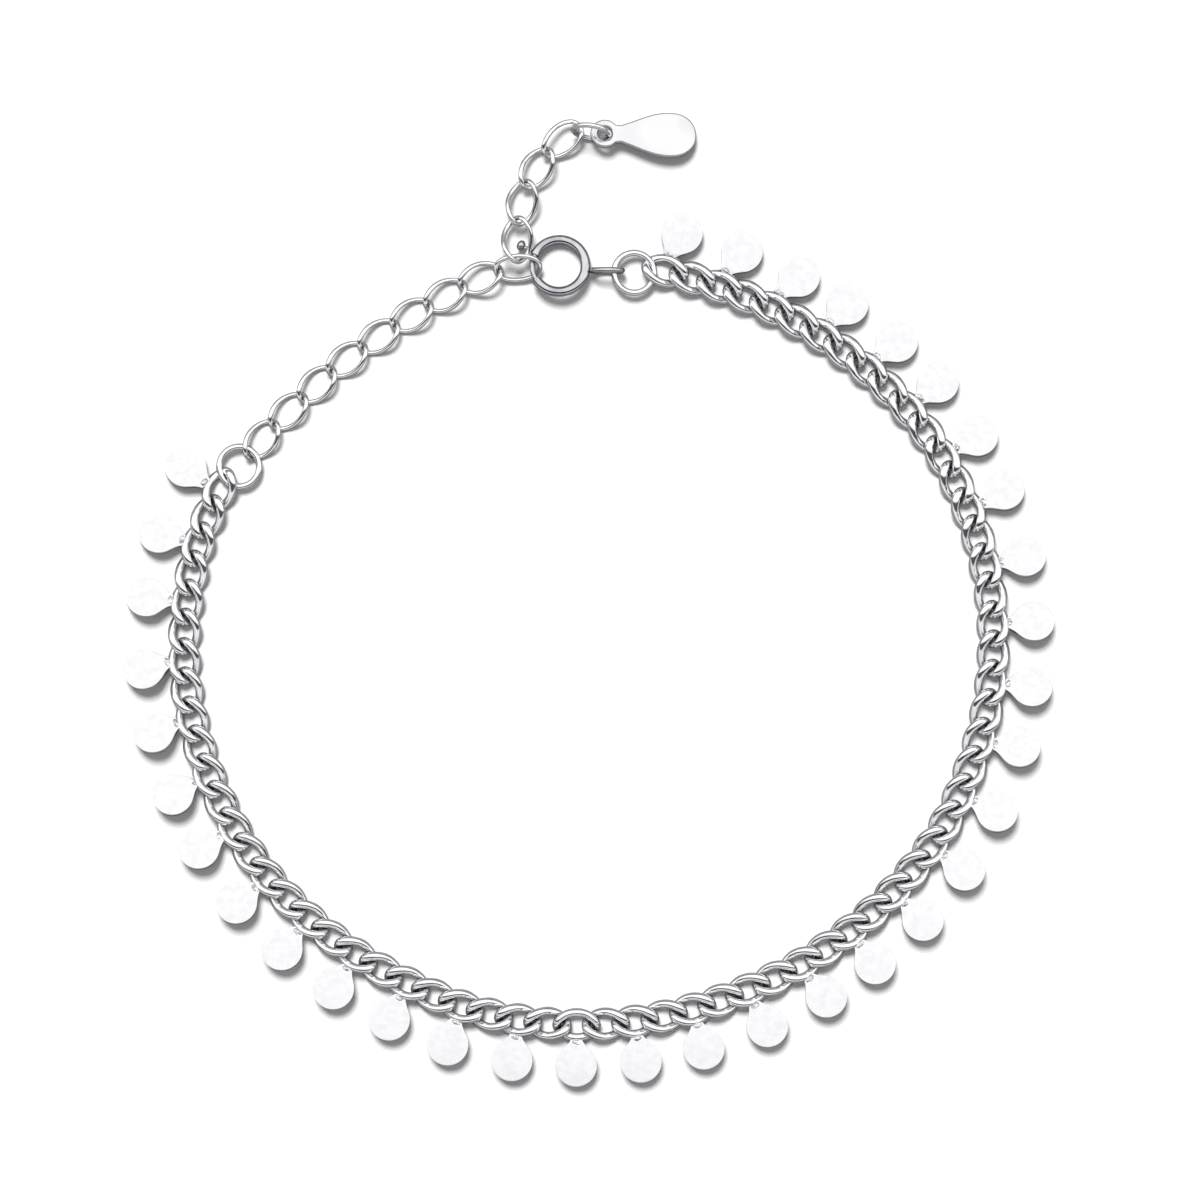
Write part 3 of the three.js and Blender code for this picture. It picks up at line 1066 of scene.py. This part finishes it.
@dataclass
class SpringRingClasp:
    """The hollow ring with its gate, thumb slot and end loop, and the bolt inside it.

    Angles along the ring are counted anticlockwise from X.
    """

    middle: tuple[float, float, float] = (-2.48, 26.82, 1.05)
    tilt: float = -10.0
    radius: float = 2.13
    tube: float = 0.8
    bore: float = 0.58
    gate: tuple[float, float] = (155.0, 212.0)
    gate_lap: float = 5.0
    bore_back: float = 68.0
    bore_foot: float = 226.0
    slot_back: float = 90.0
    slot_width: float = 0.44
    slot_depth: float = 0.8
    slot_steps: int = 24
    bolt_wire: float = 0.42
    bolt_ends: tuple[float, float] = (126.0, 217.0)
    thumb_angle: float = 151.0
    thumb_stem: float = 0.3
    thumb_reach: float = 3.45
    thumb_diameter: float = 0.84
    thumb_flatness: float = 0.8
    thumb_rings: int = 20
    loop_middle: tuple[float, float, float] = (1.36, 26.44, 1.05)
    loop_half_length: float = 1.22
    loop_half_height: float = 0.8
    loop_wire: float = 0.45
    loop_twist: float = 90.0
    tube_sides: int = 32
    bolt_sides: int = 24
    arc_step: float = 3.0
    fewest_steps: int = 4
    smooth_below: float = 40.0

    def build(self) -> list[bpy.types.Object]:
        """Make the ring and the bolt.

        Returns:
            The two pieces in their places.
        """
        silver = CLASP_SILVER.material()
        place = Matrix.Translation(to_frame(self.middle)) @ turned("X", self.tilt)
        ring = self._ring(place)
        bolt = self._bolt()
        for piece, body, node in ((ring, Body.BRACELET, "clasp_ring"), (bolt, Body.BOLT, "clasp_bolt")):
            place_in_mesh(piece, place)
            dress(piece, silver)
            finish_piece(piece, body, node)
        return [ring, bolt]

    def _across_at(self, angle: float, radius: float) -> dict[str, object]:
        """Where a flat shape is added to stand across the ring at an angle.

        Args:
            angle: the angle along the ring.
            radius: the distance from the ring's axis in millimetres.

        Returns:
            The location and rotation for the operator that adds the shape.
        """
        begin = math.radians(angle)
        return {
            "location": Vector((math.cos(begin), math.sin(begin), 0.0)) * radius * MM,
            "rotation": (math.pi / 2, 0.0, begin),
        }

    def _sweep(self, name: str, start: float, end: float, steps: int) -> bpy.types.Object:
        """Spin the flat shape that was just added around the ring's axis.

        Args:
            name: the new piece's name.
            start: the angle that the shape stands at.
            end: the angle that it is swept to.
            steps: how many steps it takes.

        Returns:
            The swept piece.
        """
        swept = name_new(name)
        bpy.ops.object.transform_apply(location=True, rotation=True, scale=True)
        bpy.ops.object.mode_set(mode="EDIT")
        bpy.ops.mesh.select_all(action="SELECT")
        bpy.ops.mesh.spin(steps=steps, angle=math.radians(start - end), center=HOME, axis=UP)
        bpy.ops.object.mode_set(mode="OBJECT")
        clean_normals(swept)
        return swept

    def _arc(
        self, name: str, start: float, end: float, width: float, sides: int,
    ) -> bpy.types.Object:
        """Make a bar of round section along part of the ring's circle.

        Args:
            name: the new piece's name.
            start: the first angle.
            end: the last angle.
            width: the section's diameter in millimetres.
            sides: the section's sides.

        Returns:
            The bar as a closed mesh about the circle's middle.
        """
        deselect_all()
        bpy.ops.mesh.primitive_circle_add(
            vertices=sides, radius=width / 2 * MM, fill_type="NGON",
            **self._across_at(start, self.radius),
        )
        steps = max(int(abs(end - start) / self.arc_step), self.fewest_steps)
        return self._sweep(name, start, end, steps)

    def _slot_cutter(self) -> bpy.types.Object:
        """Make the thin band that opens the tube's outer side for the thumb's stem.

        Returns:
            The band as a closed mesh about the circle's middle.
        """
        mouth = self.gate[0] + self.gate_lap
        deselect_all()
        bpy.ops.mesh.primitive_plane_add(
            size=MM, **self._across_at(self.slot_back, self.radius + self.slot_depth / 2),
        )
        bpy.context.object.scale = (self.slot_depth, self.slot_width, 1.0)
        return self._sweep("slot_band", self.slot_back, mouth, self.slot_steps)

    def _ring(self, place: Matrix) -> bpy.types.Object:
        """Make the ring's tube, bored and slotted, with the end loop soldered on.

        Args:
            place: where the ring will go, which the end loop allows for.

        Returns:
            The ring about the origin.
        """
        mouth = self.gate[0] + self.gate_lap
        foot = self.gate[1] - self.gate_lap
        sides = self.tube_sides
        ring = self._arc("spring_ring", self.gate[1] - 360, self.gate[0], self.tube, sides)
        bore = self._arc("bore", self.bore_back, mouth, self.bore, sides)
        apply_boolean(ring, bore, "DIFFERENCE")
        foot_bore = self._arc("foot_bore", foot, self.bore_foot, self.bore, sides)
        apply_boolean(ring, foot_bore, "DIFFERENCE")
        apply_boolean(ring, self._slot_cutter(), "DIFFERENCE")
        loop = WireLink(
            self.loop_half_length, self.loop_half_height, self.loop_wire,
            self.loop_twist, self.loop_twist,
        ).build("end_loop")
        place_in_mesh(loop, place.inverted() @ Matrix.Translation(to_frame(self.loop_middle)))
        apply_boolean(ring, loop, "UNION")
        select_only(ring)
        bpy.ops.object.shade_smooth_by_angle(angle=math.radians(self.smooth_below))
        return ring

    def _bolt(self) -> bpy.types.Object:
        """Make the bolt's wire with its thumb knob.

        Returns:
            The bolt about the origin.
        """
        bolt = self._arc("spring_bolt", *self.bolt_ends, self.bolt_wire, self.bolt_sides)
        turn = turned("Z", self.thumb_angle)
        stem_length = self.thumb_reach - self.radius
        upright_to_x = (0.0, math.pi / 2, 0.0)
        deselect_all()
        bpy.ops.mesh.primitive_cylinder_add(
            vertices=self.bolt_sides, radius=self.thumb_stem / 2 * MM, depth=stem_length * MM,
            location=((self.radius + stem_length / 2) * MM, 0.0, 0.0), rotation=upright_to_x,
        )
        stem = bpy.context.object
        bpy.ops.object.transform_apply(location=True, rotation=True, scale=True)
        deselect_all()
        bpy.ops.mesh.primitive_uv_sphere_add(
            segments=self.tube_sides, ring_count=self.thumb_rings,
            radius=self.thumb_diameter / 2 * MM, rotation=upright_to_x,
        )
        knob = bpy.context.object
        bpy.ops.object.transform_apply(location=True, rotation=True, scale=True)
        flat = Matrix.Diagonal((self.thumb_flatness, 1.0, 1.0, 1.0))
        place_in_mesh(knob, turn @ Matrix.Translation((self.thumb_reach * MM, 0.0, 0.0)) @ flat)
        place_in_mesh(stem, turn)
        apply_boolean(bolt, stem, "UNION")
        apply_boolean(bolt, knob, "UNION")
        select_only(bolt)
        bpy.ops.object.shade_smooth_by_angle(angle=math.radians(self.smooth_below))
        return bolt


@dataclass
class Studio:
    """The pale floor, the soft light and the camera above.

    The metal mirrors a light tent with dark bands and a shaded floor, which give silver its contrast. The
    floor itself is lit by a sun and a dim white room, so that it stays plain.
    """

    photo_width: float = 96.0
    photo_middle: tuple[float, float] = (0.8, 0.16)
    lens: float = 135.0
    sensor: float = 36.0
    nearest_seen: float = 10.0
    farthest_seen: float = 10000.0
    floor_size: float = 2000.0
    mirrored_floor: str = "#838487"
    room_light: float = 0.34
    key_strength: float = 3.3
    key_angle: float = 22.0
    key_from: tuple[float, float, float] = (-0.13, 0.48, 0.87)
    tent_side: tuple[float, float, float] = (0.12, 0.99, 0.0)
    tent_light: float = 1.3
    tent_foot_light: float = 0.7
    tent_foot: float = 0.4
    # The tent's colour by its lean from straight up towards tent_side.
    tent_bands: tuple[tuple[float, str], ...] = (
        (-90.0, "#3A3A3C"), (-68.0, "#CACACC"), (-52.0, "#DCDCDE"), (-44.0, "#161618"), (-18.0, "#161618"),
        (-11.0, "#DCDCDE"), (0.0, "#FAFAFB"), (28.0, WHITE), (54.0, WHITE), (68.0, "#B0B0B2"),
        (82.0, "#3A3A3C"), (90.0, "#2A2A2C"),
    )

    def build(self) -> None:
        """Set up floor, lights, surroundings and camera."""
        bpy.context.scene.view_settings.view_transform = "Standard"
        self._floor()
        self._lights()
        self._surroundings()
        self._camera()

    def _floor(self) -> None:
        """Lay a wide white sheet, which the metal mirrors as if it were shaded."""
        deselect_all()
        bpy.ops.mesh.primitive_plane_add(size=self.floor_size * MM)
        floor = bpy.context.object
        floor.name = "floor"
        paper = bpy.data.materials.new("matt_white_card")
        paper.use_nodes = True
        tree = paper.node_tree
        tree.nodes.clear()
        card = add_node(tree, "ShaderNodeBsdfDiffuse", {"Color": linear(WHITE)})
        mirrored = add_node(tree, "ShaderNodeBsdfDiffuse", {"Color": linear(self.mirrored_floor)})
        ray = add_node(tree, "ShaderNodeLightPath")
        shown = add_node(tree, "ShaderNodeMixShader", links={
            "Fac": ray.outputs["Is Glossy Ray"],
            FIRST_SHADER: card.outputs["BSDF"],
            SECOND_SHADER: mirrored.outputs["BSDF"],
        })
        add_node(tree, "ShaderNodeOutputMaterial", links={"Surface": shown.outputs["Shader"]})
        dress(floor, paper)

    def _lights(self) -> None:
        """Set a soft key light in the north, which the metal doesn't mirror."""
        bpy.ops.object.light_add(type="SUN")
        key = bpy.context.object
        key.name = "key_light"
        key.data.energy = self.key_strength
        key.data.angle = math.radians(self.key_angle)
        key.rotation_euler = Vector(self.key_from).to_track_quat("Z", "Y").to_euler()
        key.visible_glossy = False

    def _surroundings(self) -> None:
        """Set a dim room around the floor, and a light tent above it for the metal to mirror."""
        world = bpy.data.worlds.new("light_tent")
        bpy.context.scene.world = world
        world.use_nodes = True
        tree = world.node_tree
        tree.nodes.clear()
        place = add_node(tree, "ShaderNodeTexCoord").outputs["Generated"]
        height = add_node(tree, "ShaderNodeSeparateXYZ", links={"Vector": place}).outputs["Z"]
        side = add_node(tree, "ShaderNodeVectorMath", {"operation": "DOT_PRODUCT"}, {0: place})
        side.inputs[1].default_value = Vector(self.tent_side).normalized()
        lean = add_node(
            tree, "ShaderNodeMath", {"operation": "ARCTAN2"}, {0: side.outputs["Value"], 1: height},
        )
        share = add_node(
            tree, "ShaderNodeMapRange", {"From Min": -math.pi / 2, "From Max": math.pi / 2},
            {"Value": lean.outputs["Value"]},
        )
        bands = add_node(tree, "ShaderNodeValToRGB", links={"Fac": share.outputs["Result"]})
        stops = bands.color_ramp.elements
        ready = len(stops)
        for number, (angle, colour) in enumerate(self.tent_bands):
            stop = stops[number] if number < ready else stops.new(1.0)
            stop.position = (angle + 90) / 180
            stop.color = linear(colour)
        fade = add_node(
            tree, "ShaderNodeMapRange",
            {"From Max": self.tent_foot, "To Min": self.tent_foot_light, "To Max": self.tent_light},
            {"Value": height},
        )
        tent = add_node(
            tree, "ShaderNodeBackground",
            links={"Color": bands.outputs["Color"], "Strength": fade.outputs["Result"]},
        )
        room = add_node(tree, "ShaderNodeBackground", {"Strength": self.room_light})
        ray = add_node(tree, "ShaderNodeLightPath")
        shown = add_node(tree, "ShaderNodeMixShader", links={
            "Fac": ray.outputs["Is Glossy Ray"],
            FIRST_SHADER: room.outputs["Background"],
            SECOND_SHADER: tent.outputs["Background"],
        })
        add_node(tree, "ShaderNodeOutputWorld", links={"Surface": shown.outputs["Shader"]})

    def _camera(self) -> None:
        """Hang a long lens straight above the photo's middle."""
        middle = to_frame(self.photo_middle)
        height = self.photo_width * self.lens / self.sensor * MM
        bpy.ops.object.camera_add(location=(middle.x, middle.y, height))
        camera = bpy.context.object
        camera.rotation_euler = (0.0, 0.0, 0.0)
        camera.data.lens = self.lens
        camera.data.sensor_width = self.sensor
        camera.data.clip_start = self.nearest_seen * MM
        camera.data.clip_end = self.farthest_seen * MM
        bpy.context.scene.camera = camera


def main() -> None:
    """Build the bracelet's sub-assemblies in order, and then the studio."""
    logging.basicConfig(level=logging.INFO, format="%(message)s")
    for part in (CurbChain(), Extender(), JumpRings(), TeardropTag(), SpringRingClasp()):
        for piece in part.build():
            LOG.info("%s: %d faces", piece.name, len(piece.data.polygons))
    Studio().build()


if __name__ == "__main__":
    main()
